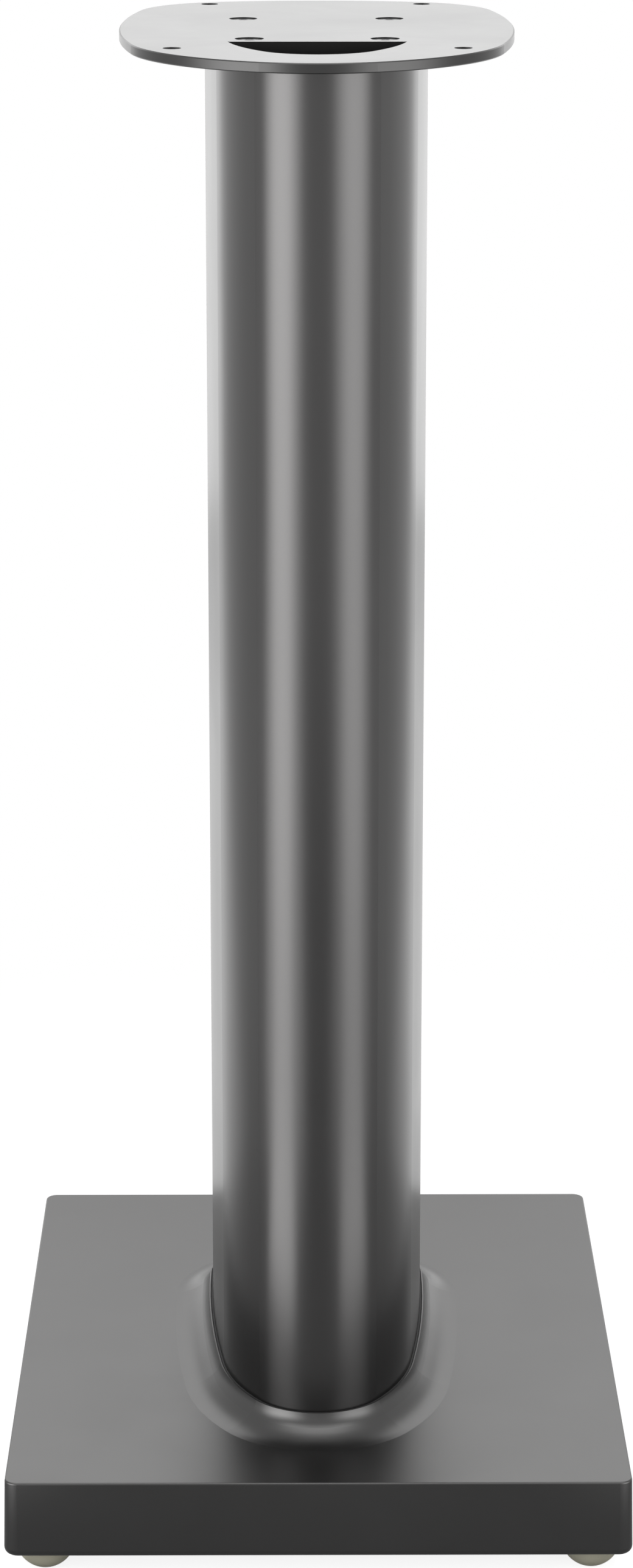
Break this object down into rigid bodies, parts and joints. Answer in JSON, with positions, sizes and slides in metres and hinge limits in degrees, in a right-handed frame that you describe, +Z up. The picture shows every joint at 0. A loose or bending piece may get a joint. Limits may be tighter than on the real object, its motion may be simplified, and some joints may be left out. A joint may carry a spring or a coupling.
{
  "type": "speaker stand",
  "caption": "Floor stand that carries one bookshelf loudspeaker on a top plate over a cable-carrying oval column and a weighted base with levelling feet.",
  "frame": {"origin": "on the floor under the middle of the base", "axes": "+Z up; -Y is the front, the side with the column's narrow nose and the cable opening; +X is to the right as seen from the front"},
  "size_m": [0.2514, 0.3188, 0.6],
  "materials": {
    "plate_paint": "satin graphite powder coat",
    "column_finish": "fine-grained graphite anodised",
    "base_paint": "satin graphite paint on a casting",
    "ballast_steel": "matt black coated steel",
    "black_steel": "black oxide",
    "zinc_steel": "zinc plated",
    "insert_brass": "plain turned",
    "seal_rubber": "matt",
    "bush_plastic": "moulded",
    "foot_rubber": "matt cream rubber"
  },
  "bodies": {
    "stand": {"top_plate": "plate_paint", "top_plate_screws": "black_steel", "column": "column_finish", "column_gasket": "seal_rubber", "column_seal": "seal_rubber", "base": "base_paint", "ballast_plate": "ballast_steel", "ballast_screws": "zinc_steel", "column_bolts": "zinc_steel", "column_washers": "zinc_steel", "cable_bush": "bush_plastic", "foot_inserts": "insert_brass"},
    "stud_front_left": {"foot_stud_front_left": "zinc_steel"},
    "dome_front_left": {"foot_dome_front_left": "foot_rubber"},
    "stud_front_right": {"foot_stud_front_right": "zinc_steel"},
    "dome_front_right": {"foot_dome_front_right": "foot_rubber"},
    "stud_rear_left": {"foot_stud_rear_left": "zinc_steel"},
    "dome_rear_left": {"foot_dome_rear_left": "foot_rubber"},
    "stud_rear_right": {"foot_stud_rear_right": "zinc_steel"},
    "dome_rear_right": {"foot_dome_rear_right": "foot_rubber"}
  },
  "joints": [
    {"name": "front_left_foot_travel", "type": "slide", "parent": "stand", "child": "stud_front_left", "axis": [0, 0, -1], "range_m": [0, 0.005]},
    {"name": "front_left_foot_turn", "type": "hinge", "parent": "stud_front_left", "child": "dome_front_left", "pos_m": [-0.10973, -0.14248, 0], "axis": [0, 0, -1], "range_deg": [0, 1440]},
    {"name": "front_right_foot_travel", "type": "slide", "parent": "stand", "child": "stud_front_right", "axis": [0, 0, -1], "range_m": [0, 0.005]},
    {"name": "front_right_foot_turn", "type": "hinge", "parent": "stud_front_right", "child": "dome_front_right", "pos_m": [0.10973, -0.14248, 0], "axis": [0, 0, -1], "range_deg": [0, 1440]},
    {"name": "rear_left_foot_travel", "type": "slide", "parent": "stand", "child": "stud_rear_left", "axis": [0, 0, -1], "range_m": [0, 0.005]},
    {"name": "rear_left_foot_turn", "type": "hinge", "parent": "stud_rear_left", "child": "dome_rear_left", "pos_m": [-0.10973, 0.14248, 0], "axis": [0, 0, -1], "range_deg": [0, 1440]},
    {"name": "rear_right_foot_travel", "type": "slide", "parent": "stand", "child": "stud_rear_right", "axis": [0, 0, -1], "range_m": [0, 0.005]},
    {"name": "rear_right_foot_turn", "type": "hinge", "parent": "stud_rear_right", "child": "dome_rear_right", "pos_m": [0.10973, 0.14248, 0], "axis": [0, 0, -1], "range_deg": [0, 1440]}
  ],
  "couplings": [
    {"joint": "front_left_foot_travel", "follows": "front_left_foot_turn", "m_per_rad": 0.00019894},
    {"joint": "front_right_foot_travel", "follows": "front_right_foot_turn", "m_per_rad": 0.00019894},
    {"joint": "rear_left_foot_travel", "follows": "rear_left_foot_turn", "m_per_rad": 0.00019894},
    {"joint": "rear_right_foot_travel", "follows": "rear_right_foot_turn", "m_per_rad": 0.00019894}
  ]
}
